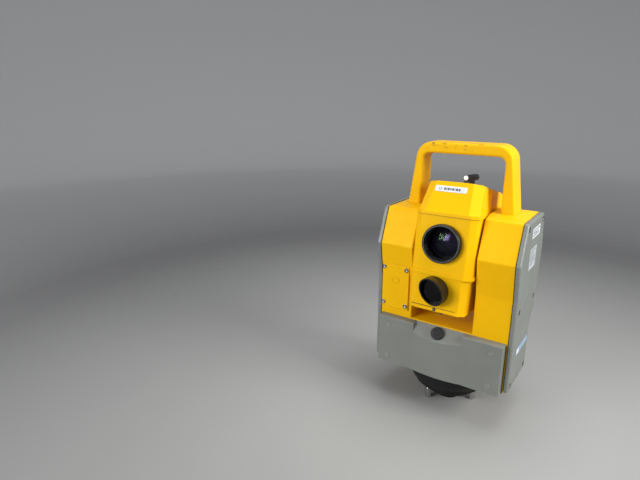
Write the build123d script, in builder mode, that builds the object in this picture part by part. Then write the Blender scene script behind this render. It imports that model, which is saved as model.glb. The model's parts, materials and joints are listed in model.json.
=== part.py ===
from build123d import *
import os
from math import cos, radians, sin

# A robotic surveying total station, in millimetres, made of separate pieces.
# +X is to the right as seen from the objective side, +Y points to the observer and +Z is up.
# The origin is on the vertical axis, level with the tips of the centring pins.

# Centring base and vertical axis
pin_count = 3
pin_radius = 4.5
pin_circle_radius = 38.7
base_bottom = 16
base_top = 33
base_radius = 52
spindle_radius = 14
spindle_top = 104
running_gap = 0.03
circle_thickness = 2.5

# Alidade
body_half_width = 95
slot_half_width = 45.9
body_wall = 3
body_bottom = 60
cover_top = 298.3
body_top = 302.5
saddle_floor = 136
back_face = 34
front_face = -54.6
seal_thickness = 1.2
cover_half_width = 102
cover_skin = 2.5
cover_bottom = 63

# Trunnion axis and telescope
trunnion_height = 256
telescope_tilt = 6
trunnion_radius = 14
bearing_radius = 22
telescope_half_width = 43.4
telescope_half_height = 41
seam_height = 37
telescope_corner = 5
shell = 3

# Fasteners
screw_head_radius = 3.75
screw_head_height = 1.5
screw_shank_radius = 1.5

inner_wall = slot_half_width + body_wall


def level(z):
    """Horizontal plane: sketches in (x, y)."""
    return Plane.XY.offset(z)


def side(x):
    """Plane facing +X: sketches in (y, z)."""
    return Plane.YZ.offset(x)


def front(y):
    """Plane facing the object being measured: sketches in (x, z)."""
    return Plane(origin=(0, y, 0), x_dir=(1, 0, 0), z_dir=(0, -1, 0))


# The telescope's own frame: its origin is on the trunnion axis and its -Y is the line of sight.
tilt = radians(telescope_tilt)
telescope = Plane(origin=(0, 0, trunnion_height), x_dir=(1, 0, 0), z_dir=(0, sin(tilt), cos(tilt)))
line_of_sight = Axis(telescope.origin, telescope.y_dir)


def tube_level(z):
    """Section across the telescope's height: sketches in its (x, y)."""
    return telescope.offset(z)


def tube_side(x, z=0):
    """Plane along the telescope, facing +X, at a height above its axis: sketches in its (y, z)."""
    return Plane(origin=telescope.from_local_coords((x, 0, z)), x_dir=telescope.y_dir, z_dir=(1, 0, 0))


def tube_front(y, x=0, z=0):
    """Plane across the telescope, facing the line of sight: sketches in its (x, z)."""
    return Plane(origin=telescope.from_local_coords((x, y, z)), x_dir=(1, 0, 0), z_dir=telescope.y_dir * -1)


# ---------------------------------------------------------------- centring base

pin_angles = [-120, 0, 120]
pin_spots = [(pin_circle_radius * cos(radians(a)), pin_circle_radius * sin(radians(a)))
             for a in pin_angles]
pin_tenon_radius = 3.5
pin_tenon_length = 10
pin_relief = 0.5

with BuildPart() as base_flange:
    with BuildSketch(Plane.XZ):
        Polygon((spindle_radius + 2, base_bottom), (41, base_bottom), (42.5, 17.5), (42.5, 20), (45.5, 20),
                (45.5, 23), (48.5, 23), (48.5, 26), (base_radius, 26), (base_radius, base_top),
                (spindle_radius + 2, base_top), align=None)
    revolve(axis=Axis.Z)
    with BuildSketch(level(base_bottom)):
        with Locations(*pin_spots):
            Circle(pin_tenon_radius)
    extrude(amount=pin_tenon_length, mode=Mode.SUBTRACT)
    with BuildSketch(level(base_bottom)):
        with Locations(*pin_spots):
            Circle(pin_radius + pin_relief)
    extrude(amount=pin_relief, mode=Mode.SUBTRACT)

with BuildPart() as centring_pins:
    with BuildSketch(level(0)):
        with Locations(*pin_spots):
            Circle(pin_radius)
    extrude(amount=base_bottom)
    chamfer(centring_pins.edges().group_by(Axis.Z)[0], length=0.45)
    with BuildSketch(level(base_bottom)):
        with Locations(*pin_spots):
            Circle(pin_tenon_radius)
    extrude(amount=pin_tenon_length)

spindle_flange_radius = 26
spindle_flange_top = 38
circle_seat = 97
with BuildPart() as vertical_spindle:
    with BuildSketch(Plane.XZ):
        Polygon((0, base_bottom), (spindle_radius + 2, base_bottom), (spindle_radius + 2, base_top),
                (spindle_flange_radius, base_top), (spindle_flange_radius, spindle_flange_top),
                (spindle_radius, spindle_flange_top), (spindle_radius, circle_seat), (10, circle_seat),
                (10, spindle_top), (0, spindle_top), align=None)
    revolve(axis=Axis.Z)

horizontal_circle_radius = 29
with BuildPart() as horizontal_circle:
    with BuildSketch(level(circle_seat)):
        Circle(horizontal_circle_radius)
        Circle(10, mode=Mode.SUBTRACT)
    extrude(amount=circle_thickness)

drive_ring_radius = 40
drive_ring_top = 42
with BuildPart() as drive_ring:
    with BuildSketch(level(base_top)):
        Circle(drive_ring_radius)
        Circle(30, mode=Mode.SUBTRACT)
    extrude(amount=drive_ring_top - base_top)

# ---------------------------------------------------------------- alidade: vertical axis parts

sleeve_radius = 24
bearing_seat = 20
sleeve_bottom = 40
sleeve_top = 92
plate_bottom = body_bottom + body_wall
plate_thickness = 8
plate_top = plate_bottom + plate_thickness
roller_radius = 6
roller_gap = 0.05
axis_opening_radius = 50
neck_radius = axis_opening_radius - 0.5
horizontal_roller_x = drive_ring_radius + roller_gap + roller_radius

with BuildPart() as lower_housing:
    with BuildSketch(Plane.XZ):
        Polygon((53.2, 34), (57, 34), (60, 41), (60, 43), (61.5, 43), (63, 49), (63, 57), (54.4, 57),
                (54.4, body_bottom), (neck_radius, body_bottom), (neck_radius, 54), (56, 54), (56, 37),
                (53.2, 37), align=None)
    revolve(axis=Axis.Z)

with BuildPart() as bearing_plate:
    with BuildSketch(level(plate_bottom)):
        with Locations((0, -10)):
            RectangleRounded(2 * 86, 78, 6)
    extrude(amount=plate_thickness)
    with BuildSketch(level(sleeve_bottom)):
        Circle(sleeve_radius)
    extrude(amount=sleeve_top - sleeve_bottom)
    with BuildSketch(level(sleeve_bottom)):
        Circle(bearing_seat)
    extrude(amount=sleeve_top - sleeve_bottom, mode=Mode.SUBTRACT)
    with BuildSketch(level(plate_bottom)):
        with Locations((horizontal_roller_x, 0)):
            Circle(2.6)
    extrude(amount=plate_thickness, mode=Mode.SUBTRACT)

spindle_bearing_height = 8
with BuildPart() as spindle_bearings:
    for bottom in (sleeve_bottom + 2, sleeve_top - 2 - spindle_bearing_height):
        with BuildSketch(level(bottom)):
            Circle(bearing_seat)
            Circle(spindle_radius + running_gap, mode=Mode.SUBTRACT)
        extrude(amount=spindle_bearing_height)

# The reading head straddles the edge of the circle.
encoder_width = 18
encoder_gap = 1.5
head_bottom = circle_seat - encoder_gap
head_top = circle_seat + circle_thickness + encoder_gap
with BuildPart() as horizontal_encoder:
    with BuildSketch(front(-encoder_width / 2)):
        Polygon((-44, plate_top), (-44, head_top + 5), (-25, head_top + 5), (-25, head_top),
                (-33, head_top), (-33, head_bottom), (-25, head_bottom), (-25, plate_top), align=None)
    extrude(amount=-encoder_width)

motor_shaft_radius = 2
with BuildPart() as horizontal_motor:
    with BuildSketch(level(plate_top)):
        with Locations((horizontal_roller_x, 0)):
            Circle(11)
    extrude(amount=28)
    chamfer(horizontal_motor.edges().group_by(Axis.Z)[-1], length=1)
    with BuildSketch(level(plate_top)):
        with Locations((horizontal_roller_x, 0)):
            Circle(motor_shaft_radius + running_gap)
    extrude(amount=10, mode=Mode.SUBTRACT)

with BuildPart() as horizontal_drive_roller:
    with BuildSketch(level(base_top + 1)):
        with Locations((horizontal_roller_x, 0)):
            Circle(roller_radius)
    extrude(amount=drive_ring_top - base_top - 1)
    with BuildSketch(level(drive_ring_top)):
        with Locations((horizontal_roller_x, 0)):
            Circle(motor_shaft_radius)
    extrude(amount=plate_top + 9 - drive_ring_top)

with BuildPart() as tilt_sensor:
    with BuildSketch(level(plate_top)):
        with Locations((-68, 0)):
            RectangleRounded(26, 28, 2)
    extrude(amount=11)
    with BuildSketch(level(plate_top + 11)):
        with Locations((-68, 0)):
            Circle(9)
    extrude(amount=3)

# ---------------------------------------------------------------- alidade: housing and covers


def body_outline(plane, margin=0, bottom=body_bottom, crown=()):
    """Side outline of the standards in (y, z), grown outwards by the margin."""
    with BuildSketch(plane) as outline:
        Polygon((front_face, bottom), (front_face, 196.4), (-62.7, 246.6), (-42.4, cover_top), *crown,
                (42.4, cover_top), (57, 246.6), (52, 175), (52, 152), (back_face, 138),
                (back_face, bottom), align=None)
        fillet(outline.vertices().sort_by(Axis.Y)[2:-len(crown) or None], radius=6)
        if margin:
            offset(amount=margin)
    return outline.sketch


def saddle_outline(plane, drop=0):
    """Slot for the telescope, open upwards, in (y, z)."""
    with BuildSketch(plane) as outline:
        Polygon((-80, saddle_floor - drop), (24, saddle_floor - drop), (64, saddle_floor + 13.3 - drop),
                (64, body_top + 10), (-80, body_top + 10), align=None)
    return outline.sketch


# Side-cover screws, in (y, z), and the ones that need a bridge to the wall beside them
side_screw_spots = [(-38.4, 291), (40, 290), (-41.7, 178), (38, 176), (-46, 70), (26, 70)]
bridge_spots = [(-47, 178, 10), (44, 176, 12), (-46, 65, 8), (26, 65, 8)]
handle_screw_spots = [(x, y) for x in (-67.5, 67.5) for y in (-13.5, 13.5)]
top_thickness = body_top - cover_top + body_wall
service_plate_center = (-72.7, 181)
service_plate_size = (43.5, 70)
service_screw_spots = [(x, z) for x in (-91.2, -55.2) for z in (152.9, 209.6)]
panel_screw_spots = [(x, z) for x in (-77, 77) for z in (70, 121)]
panel_screw_depth = 2
boss_length = 9

with BuildPart() as alidade_housing:
    extrude(body_outline(side(-body_half_width), crown=[(-24, body_top), (24, body_top)]),
            amount=2 * body_half_width)
    # The tops fall away towards the side covers.
    for sign in (-1, 1):
        with BuildSketch(front(70)):
            Polygon((sign * 80, body_top), (sign * body_half_width, cover_top),
                    (sign * body_half_width, body_top), align=None)
        extrude(amount=140, mode=Mode.SUBTRACT)
    extrude(saddle_outline(side(-slot_half_width)), amount=2 * slot_half_width, mode=Mode.SUBTRACT)
    slot_edges = alidade_housing.edges().filter_by(
        lambda edge: abs(abs(edge.center().X) - slot_half_width) < 0.01)
    fillet(slot_edges.filter_by(lambda edge: edge.center().Z > 148 and edge.center().Y < 20), radius=2)
    # Each standard is hollow and open towards its side cover.
    for x in (-body_half_width, inner_wall):
        extrude(body_outline(side(x), -body_wall), amount=body_half_width - inner_wall, mode=Mode.SUBTRACT)
    # The space under the saddle joins the standards.
    cavity = body_outline(side(-inner_wall), -body_wall)
    extrude(cavity - saddle_outline(side(-inner_wall), body_wall), amount=2 * inner_wall,
            mode=Mode.SUBTRACT)
    # Trunnion bearing bosses on the inner walls
    for sign in (-1, 1):
        with BuildSketch(side(sign * (inner_wall - 1))):
            with Locations((0, trunnion_height)):
                Circle(bearing_radius + 5)
        extrude(amount=sign * 11.5)
        with BuildSketch(side(sign * (inner_wall + 0.5))):
            with Locations((0, trunnion_height)):
                Circle(bearing_radius)
        extrude(amount=sign * 12, mode=Mode.SUBTRACT)
        with BuildSketch(side(sign * (slot_half_width - 1))):
            with Locations((0, trunnion_height)):
                Circle(trunnion_radius + 1.5)
        extrude(amount=sign * 12, mode=Mode.SUBTRACT)
        # Bosses for the side-cover screws
        with BuildSketch(side(sign * body_half_width)):
            with Locations(*side_screw_spots):
                Circle(5)
            for y, z, width in bridge_spots:
                with Locations((y, z)):
                    Rectangle(width, 8)
            with Locations(*side_screw_spots):
                Circle(screw_shank_radius, mode=Mode.SUBTRACT)
        extrude(amount=-sign * boss_length)
    # Opening for the vertical axis
    with BuildSketch(level(body_bottom)):
        Circle(axis_opening_radius)
    extrude(amount=body_wall, mode=Mode.SUBTRACT)
    # Flat seat of the service plate
    with BuildSketch(front(front_face)):
        with Locations(service_plate_center):
            Rectangle(*service_plate_size)
    extrude(amount=12, mode=Mode.SUBTRACT)
    with BuildSketch(front(front_face)):
        with Locations(*service_screw_spots, *panel_screw_spots):
            Circle(screw_shank_radius)
    extrude(amount=-body_wall, mode=Mode.SUBTRACT)
    with BuildSketch(level(body_top)):
        with Locations(*handle_screw_spots):
            Circle(2.5)
    extrude(amount=-top_thickness, mode=Mode.SUBTRACT)

with BuildPart() as side_cover_seals:
    for x in (-body_half_width - seal_thickness, body_half_width):
        seal = body_outline(side(x), -0.6, cover_bottom) - body_outline(side(x), -2.8, cover_bottom)
        extrude(seal, amount=seal_thickness)

cover_base = body_half_width + seal_thickness
cover_skin_inside = cover_half_width - cover_skin
cover_margin = 0.8
cover_bevel = 1.6
battery_center = (-2, 162)
battery_bay_size = (58, 81)
horizontal_knob_spot = (-19, 97)
vertical_knob_spot = (0, trunnion_height)
knob_shaft_radius = 3


def cover_shape(sign):
    """Shallow dish over a standard's open side, with bosses under its screws."""
    with BuildPart() as cover:
        extrude(body_outline(side(sign * cover_base), cover_margin, cover_bottom),
                amount=sign * (cover_half_width - cover_base - cover_bevel))
        extrude(body_outline(side(sign * (cover_half_width - cover_bevel)), cover_margin, cover_bottom),
                amount=sign * cover_bevel, taper=45)
        with BuildSketch(side(sign * cover_base)):
            add(body_outline(Plane.XY, -3.2, cover_bottom))
            with Locations(*side_screw_spots):
                Circle(5.5, mode=Mode.SUBTRACT)
        extrude(amount=sign * (cover_skin_inside - cover_base), mode=Mode.SUBTRACT)
        with BuildSketch(side(sign * cover_half_width)):
            with Locations(*side_screw_spots):
                Circle(screw_head_radius + 0.25)
        extrude(amount=-sign * screw_head_height, mode=Mode.SUBTRACT)
        with BuildSketch(side(sign * cover_half_width)):
            with Locations(*side_screw_spots):
                Circle(screw_shank_radius)
        extrude(amount=-sign * 8, mode=Mode.SUBTRACT)
    return cover.part


with BuildPart() as right_side_cover:
    add(cover_shape(1))

with BuildPart() as left_side_cover:
    add(cover_shape(-1))
    with BuildSketch(side(-cover_half_width)):
        with Locations(battery_center):
            Rectangle(*battery_bay_size)
        with Locations(horizontal_knob_spot, vertical_knob_spot):
            Circle(knob_shaft_radius + 0.05)
    extrude(amount=8, mode=Mode.SUBTRACT)
    # Shallow track of the battery latch
    with BuildSketch(side(-cover_half_width)):
        with Locations((battery_center[0], 209.5)):
            Rectangle(14, 11)
    extrude(amount=1.2, mode=Mode.SUBTRACT)

# Front panel: flat wings and a slightly bulged middle, cut by a slanted facet for the antenna socket
panel_half_width = 92.8
panel_bottom = 58.2
panel_front = -65.5
panel_top = 134.5
bulge_half_width = 38
bulge_front = -69.8
facet_slope = 1.25
facet_top = 134.7
facet_half_width = 37.2
panel_wall = 2.5
wing_top = 132.3

# The antenna socket stands square on the slanted facet.
facet_height = 125.5
facet_normal = Vector(0, -facet_slope, 1).normalized()
facet_origin = (0, front_face - (facet_top - facet_height) / facet_slope, facet_height)
facet = Plane(origin=facet_origin, x_dir=(1, 0, 0), z_dir=facet_normal)
socket_radius = 6
socket_reach = 3.8
socket_depth = 4

with BuildPart() as front_panel:
    with BuildSketch(side(-panel_half_width)):
        Polygon((front_face, panel_bottom), (panel_front, panel_bottom), (panel_front, wing_top),
                (panel_front + 1.2, wing_top + 1.2), (front_face, panel_top), align=None)
    extrude(amount=2 * panel_half_width)
    chamfer(front_panel.edges().filter_by(Axis.Z).group_by(Axis.Y)[0], length=1.2)
    with BuildSketch(level(panel_bottom)):
        with BuildLine():
            ThreePointArc((-bulge_half_width, panel_front), (0, bulge_front),
                          (bulge_half_width, panel_front))
            Line((bulge_half_width, panel_front), (-bulge_half_width, panel_front))
        make_face()
    extrude(amount=wing_top - panel_bottom)
    with BuildSketch(side(-facet_half_width)):
        Polygon((front_face, facet_top), (front_face - 24, facet_top - 24 * facet_slope), (-90, 104),
                (-90, 150), (front_face, 150), align=None)
    extrude(amount=2 * facet_half_width, mode=Mode.SUBTRACT)
    # The panel is a shell, open towards the housing.
    with BuildSketch(side(-bulge_half_width)):
        Polygon((front_face, panel_bottom + panel_wall), (panel_front + 0.5, panel_bottom + panel_wall),
                (panel_front + 0.5, 116.5), (front_face, 129.8), align=None)
    extrude(amount=2 * bulge_half_width, mode=Mode.SUBTRACT)
    for x in (-panel_half_width + panel_wall, bulge_half_width):
        with BuildSketch(side(x)):
            Polygon((front_face, panel_bottom + panel_wall),
                    (panel_front + panel_wall, panel_bottom + panel_wall),
                    (panel_front + panel_wall, 130), (front_face, 131.5), align=None)
        extrude(amount=panel_half_width - panel_wall - bulge_half_width, mode=Mode.SUBTRACT)
    with BuildSketch(front(front_face)):
        with Locations(*panel_screw_spots):
            Circle(5)
    extrude(amount=front_face - panel_front - 1.5)
    with BuildSketch(front(panel_front)):
        with Locations(*panel_screw_spots):
            Circle(screw_head_radius + 0.25)
    extrude(amount=-panel_screw_depth, mode=Mode.SUBTRACT)
    with BuildSketch(front(panel_front)):
        with Locations(*panel_screw_spots):
            Circle(screw_shank_radius)
    extrude(amount=-12, mode=Mode.SUBTRACT)
    with BuildSketch(facet.offset(-12)):
        Circle(socket_radius)
    extrude(amount=24, mode=Mode.SUBTRACT)

with BuildPart() as antenna_socket:
    with BuildSketch(facet.offset(-socket_depth)):
        Circle(socket_radius)
    extrude(amount=socket_depth + socket_reach)
    with BuildSketch(facet.offset(socket_reach)):
        Circle(2)
    extrude(amount=-6, mode=Mode.SUBTRACT)

with BuildPart() as antenna_cap:
    with BuildSketch(facet.offset(0.3)):
        Circle(9.2)
    extrude(amount=5.4)
    fillet(antenna_cap.faces().sort_by(Axis(facet.origin, facet.z_dir))[-1].edges(), radius=1.4)
    with BuildSketch(facet.offset(0.3)):
        Circle(socket_radius + 0.1)
    extrude(amount=socket_reach + 0.1, mode=Mode.SUBTRACT)
    # Grip notches round the rim
    with BuildSketch(facet.offset(0.3)):
        with PolarLocations(9.5, 18):
            Circle(0.7)
    extrude(amount=5.5, mode=Mode.SUBTRACT)

# Service plate on the front of the left standard
service_plate_thickness = 3
service_plate_front = front_face - service_plate_thickness
with BuildPart() as service_plate:
    with BuildSketch(front(front_face)):
        with Locations(service_plate_center):
            Rectangle(service_plate_size[0] - 0.4, service_plate_size[1] - 0.4)
    extrude(amount=service_plate_thickness)
    chamfer(service_plate.faces().sort_by(Axis.Y)[0].edges(), length=0.6)
    with BuildSketch(front(service_plate_front)):
        with Locations((-71.5, 191)):
            Circle(5.6)
            Circle(4.9, mode=Mode.SUBTRACT)
    extrude(amount=-0.5, mode=Mode.SUBTRACT)
    with BuildSketch(front(service_plate_front)):
        with Locations(*service_screw_spots):
            Circle(screw_shank_radius)
    extrude(amount=-service_plate_thickness, mode=Mode.SUBTRACT)

# Screw seats: planes whose normals point out of the heads
side_seat = cover_half_width - screw_head_height
screw_seats = [Plane(origin=(sign * side_seat, y, z), x_dir=(0, 1, 0), z_dir=(sign, 0, 0))
               for sign in (-1, 1) for y, z in side_screw_spots]
screw_seats += [Plane(origin=(x, service_plate_front, z), x_dir=(1, 0, 0), z_dir=(0, -1, 0))
                for x, z in service_screw_spots]
screw_seats += [Plane(origin=(x, panel_front + panel_screw_depth, z), x_dir=(1, 0, 0), z_dir=(0, -1, 0))
                for x, z in panel_screw_spots]

with BuildPart() as cover_screws:
    for seat in screw_seats:
        with BuildSketch(seat):
            Circle(screw_head_radius)
        extrude(amount=screw_head_height, taper=20)
        with BuildSketch(seat):
            Circle(screw_shank_radius)
        extrude(amount=-11)
        with BuildSketch(seat.offset(screw_head_height)):
            RegularPolygon(1.4, 6)
        extrude(amount=-0.9, mode=Mode.SUBTRACT)

# ---------------------------------------------------------------- carrying handle

handle_top = 392.5
handle_underside = 377
handle_inner = 58
handle_foot = 77
handle_shoulder = 65.3
handle_half_depth = 18
handle_screw_depth = 12

with BuildPart() as carry_handle:
    with BuildSketch(front(handle_half_depth)) as handle_arch:
        Polygon((-handle_foot, body_top), (-handle_shoulder, handle_top), (handle_shoulder, handle_top),
                (handle_foot, body_top), align=None)
        fillet(handle_arch.vertices().group_by(Axis.Y)[-1], radius=23)
        with Locations((0, body_top)):
            Rectangle(2 * handle_inner, handle_underside - body_top, align=(Align.CENTER, Align.MIN),
                      mode=Mode.SUBTRACT)
        inner_corners = handle_arch.vertices().filter_by(
            lambda v: abs(abs(v.X) - handle_inner) < 0.01 and v.Y > body_top + 10)
        fillet(inner_corners, radius=10)
    extrude(amount=2 * handle_half_depth)
    outer_faces = carry_handle.faces().sort_by(Axis.Y)
    face_edges = outer_faces[0].edges() + outer_faces[-1].edges()
    fillet(face_edges.filter_by(lambda edge: edge.center().Z > body_top + 1), radius=3.5)
    with BuildSketch(level(body_top)):
        with Locations(*handle_screw_spots):
            Circle(2.5)
    extrude(amount=handle_screw_depth, mode=Mode.SUBTRACT)

with BuildPart() as handle_screws:
    with BuildSketch(level(body_top + handle_screw_depth)):
        with Locations(*handle_screw_spots):
            Circle(2.5)
    extrude(amount=-handle_screw_depth - top_thickness)
    with BuildSketch(level(body_top - top_thickness)):
        with Locations(*handle_screw_spots):
            Circle(4.2)
    extrude(amount=-3.5)

# ---------------------------------------------------------------- trunnion axis parts

with BuildPart() as trunnion_bearings:
    for x in (-inner_wall - 9, inner_wall + 0.5):
        with BuildSketch(side(x)):
            with Locations((0, trunnion_height)):
                Circle(bearing_radius)
                Circle(trunnion_radius + running_gap, mode=Mode.SUBTRACT)
        extrude(amount=8.5)

axle_end = 84
axle_flange_radius = 24
axle_flange = 2
with BuildPart() as trunnion_axles:
    for sign in (-1, 1):
        with BuildSketch(side(sign * (telescope_half_width - shell))):
            with Locations((0, trunnion_height)):
                Circle(trunnion_radius)
        extrude(amount=sign * (axle_end - telescope_half_width + shell))
        with BuildSketch(side(sign * telescope_half_width)):
            with Locations((0, trunnion_height)):
                Circle(axle_flange_radius)
        extrude(amount=sign * axle_flange)
        with BuildSketch(side(sign * 30)):
            with Locations((0, trunnion_height)):
                Circle(9)
        extrude(amount=sign * 60, mode=Mode.SUBTRACT)

vertical_circle_radius = 33
circle_x = -70
with BuildPart() as vertical_circle:
    with BuildSketch(side(circle_x)):
        with Locations((0, trunnion_height)):
            Circle(vertical_circle_radius)
            Circle(trunnion_radius, mode=Mode.SUBTRACT)
    extrude(amount=circle_thickness)

head_left = circle_x - encoder_gap
head_right = circle_x + circle_thickness + encoder_gap
head_floor = trunnion_height + vertical_circle_radius + 2.5
with BuildPart() as vertical_encoder:
    with BuildSketch(front(-encoder_width / 2)):
        Polygon((-76, 284), (-76, 295), (-inner_wall, 295), (-inner_wall, 284), (head_right, 284),
                (head_right, head_floor), (head_left, head_floor), (head_left, 284), align=None)
    extrude(amount=-encoder_width)

drive_wheel_radius = 30
drive_wheel_face = 66
drive_wheel_width = 6
with BuildPart() as vertical_drive_wheel:
    with BuildSketch(side(drive_wheel_face)):
        with Locations((0, trunnion_height)):
            Circle(drive_wheel_radius)
            Circle(trunnion_radius, mode=Mode.SUBTRACT)
    extrude(amount=drive_wheel_width)

vertical_roller_z = trunnion_height - drive_wheel_radius - roller_gap - roller_radius
vertical_motor_length = 14
with BuildPart() as vertical_motor:
    with BuildSketch(side(inner_wall)):
        with Locations((0, vertical_roller_z)):
            Circle(8.5)
    extrude(amount=vertical_motor_length)
    with BuildSketch(side(inner_wall + vertical_motor_length)):
        with Locations((0, vertical_roller_z)):
            Circle(motor_shaft_radius + running_gap)
    extrude(amount=-10, mode=Mode.SUBTRACT)

with BuildPart() as vertical_drive_roller:
    with BuildSketch(side(drive_wheel_face - 0.5)):
        with Locations((0, vertical_roller_z)):
            Circle(roller_radius)
    extrude(amount=drive_wheel_width + 1)
    with BuildSketch(side(drive_wheel_face - 0.5)):
        with Locations((0, vertical_roller_z)):
            Circle(motor_shaft_radius)
    extrude(amount=-10)

board_x = 82
board_thickness = 1.6
standoff_spots = [(y, z) for y in (-34, 34) for z in (154, 196)]
with BuildPart() as main_circuit_board:
    with BuildSketch(side(board_x)):
        with Locations((-1, 178)):
            Rectangle(80, 60)
    extrude(amount=board_thickness)
    with BuildSketch(side(board_x + board_thickness)):
        with Locations((-16, 180)):
            Rectangle(22, 20)
        with Locations((16, 184)):
            Rectangle(14, 18)
        with Locations((4, 160)):
            Rectangle(34, 10)
    extrude(amount=3)
    with BuildSketch(side(inner_wall)):
        with Locations(*standoff_spots):
            Circle(3)
    extrude(amount=board_x - inner_wall)

# ---------------------------------------------------------------- battery and motion knobs

bay_wall = 2
battery_gap = 0.4
with BuildPart() as battery_compartment:
    with BuildSketch(side(-cover_skin_inside)):
        with Locations(battery_center):
            Rectangle(battery_bay_size[0] + 2 * bay_wall, battery_bay_size[1] + 2 * bay_wall)
    extrude(amount=cover_skin_inside - inner_wall)
    with BuildSketch(side(-cover_skin_inside)):
        with Locations(battery_center):
            Rectangle(*battery_bay_size)
    extrude(amount=cover_skin_inside - inner_wall - bay_wall, mode=Mode.SUBTRACT)

battery_outside = cover_half_width - 0.2
with BuildPart() as battery_pack:
    with BuildSketch(side(-battery_outside)):
        with Locations(battery_center):
            Rectangle(battery_bay_size[0] - 2 * battery_gap, battery_bay_size[1] - 2 * battery_gap)
    extrude(amount=battery_outside - inner_wall - bay_wall - battery_gap)
    chamfer(battery_pack.faces().sort_by(Axis.X)[0].edges(), length=1)
    # Finger recess
    with BuildSketch(side(-battery_outside)):
        with Locations((battery_center[0], battery_center[1] + 24)):
            SlotOverall(34, 12)
    extrude(amount=6, mode=Mode.SUBTRACT)

with BuildPart() as battery_latch:
    with BuildSketch(side(-cover_half_width + 0.9)):
        with Locations((battery_center[0], 207.6)):
            Rectangle(13.2, 6)
    extrude(amount=-3)
    chamfer(battery_latch.faces().sort_by(Axis.X)[0].edges(), length=0.8)

knob_radius = 14
knob_inside = cover_half_width + 0.4
knob_length = 11.5


def motion_knob(spot):
    """Fluted knob on a shaft through the left cover."""
    with BuildPart() as knob:
        with BuildSketch(side(-knob_inside)):
            with Locations(spot):
                Circle(knob_radius)
        extrude(amount=-knob_length)
        fillet(knob.faces().sort_by(Axis.X)[0].edges(), radius=2)
        with BuildSketch(side(-knob_inside)):
            with Locations(spot):
                with PolarLocations(knob_radius + 0.7, 20):
                    Circle(1.4)
        extrude(amount=-knob_length, mode=Mode.SUBTRACT)
        with BuildSketch(side(-knob_inside)):
            with Locations(spot):
                Circle(knob_shaft_radius)
        extrude(amount=9)
    return knob.part


with BuildPart() as horizontal_motion_knob:
    add(motion_knob(horizontal_knob_spot))

with BuildPart() as vertical_motion_knob:
    add(motion_knob(vertical_knob_spot))

# ---------------------------------------------------------------- telescope castings


def tube_outline(plane, margin):
    """Cross-section of the middle housing in the telescope's (x, y)."""
    with BuildSketch(plane) as outline:
        Polygon((-34, -69), (34, -69), (telescope_half_width, -62), (telescope_half_width, 52),
                (36, 60), (-36, 60), (-telescope_half_width, 52), (-telescope_half_width, -62), align=None)
        fillet(outline.vertices(), radius=telescope_corner)
        if margin:
            offset(amount=margin)
    return outline.sketch


objective_seat_radius = 24
barrel_radius = 15
with BuildPart() as telescope_housing:
    extrude(tube_outline(tube_level(-telescope_half_height), 0), amount=telescope_half_height + seam_height)
    extrude(tube_outline(tube_level(shell - telescope_half_height), -shell),
            amount=2 * telescope_half_height, mode=Mode.SUBTRACT)
    with BuildSketch(side(-50)):
        with Locations((0, trunnion_height)):
            Circle(trunnion_radius)
    extrude(amount=100, mode=Mode.SUBTRACT)
    with BuildSketch(tube_front(-60)):
        Circle(objective_seat_radius)
    extrude(amount=12, mode=Mode.SUBTRACT)
    with BuildSketch(tube_front(50)):
        Circle(barrel_radius)
    extrude(amount=-12, mode=Mode.SUBTRACT)

lip_height = 4.3
lip_margin = 0.9
lip_top = seam_height + lip_height
hood_base_half_width = 42.5
hood_half_width = 38
hood_top = 82
with BuildPart(mode=Mode.PRIVATE) as hood:
    with BuildSketch(tube_side(-hood_base_half_width)):
        Polygon((-68, lip_top), (-46.5, hood_top), (26, 69.5), (52, 60), (57, lip_top), align=None)
    extrude(amount=2 * hood_base_half_width)
    with BuildSketch(tube_front(70)):
        Polygon((-hood_base_half_width, lip_top), (-hood_half_width, hood_top),
                (hood_half_width, hood_top), (hood_base_half_width, lip_top), align=None)
    extrude(amount=150, mode=Mode.INTERSECT)
    hood_front = hood.faces().sort_by(line_of_sight)[0]
    front_corners = hood_front.edges().filter_by(lambda edge: abs(edge.center().X) > 30)
    chamfer(front_corners, length=12, length2=9, reference=hood_front)
    top_face = hood.faces().sort_by(Axis(telescope.origin, telescope.z_dir))[-1]
    fillet(top_face.edges().filter_by(lambda edge: abs(edge.center().X) > 30), radius=4)

with BuildPart(mode=Mode.PRIVATE) as hood_hollow:
    with BuildSketch(tube_side(-hood_half_width + shell + 1)):
        Polygon((-64.5, lip_top - 3), (-44.5, hood_top - 3.5), (25, 66), (48.5, 57), (53, lip_top - 3),
                align=None)
    extrude(amount=2 * (hood_half_width - shell - 1))
    hollow_front = hood_hollow.faces().sort_by(line_of_sight)[0]
    hollow_corners = hollow_front.edges().filter_by(lambda edge: abs(edge.center().X) > 20)
    chamfer(hollow_corners, length=10, length2=8, reference=hollow_front)

with BuildPart() as telescope_top_cover:
    extrude(tube_outline(tube_level(seam_height), lip_margin), amount=lip_height)
    add(hood.part)
    # Wider shoulder towards the observer's end
    with BuildSketch(tube_side(-telescope_half_width)):
        Polygon((-20, lip_top), (-20, 75), (26, 68.1), (50, 59), (57, lip_top), align=None)
    extrude(amount=2 * telescope_half_width)
    with BuildSketch(tube_side(-telescope_half_width + shell)):
        Polygon((-17, lip_top - 4), (-17, 71.5), (25.5, 65), (48, 56.5), (53.5, lip_top - 4), align=None)
    extrude(amount=2 * (telescope_half_width - shell), mode=Mode.SUBTRACT)
    add(hood_hollow.part, mode=Mode.SUBTRACT)
    extrude(tube_outline(tube_level(seam_height), -shell), amount=2, mode=Mode.SUBTRACT)

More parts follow.
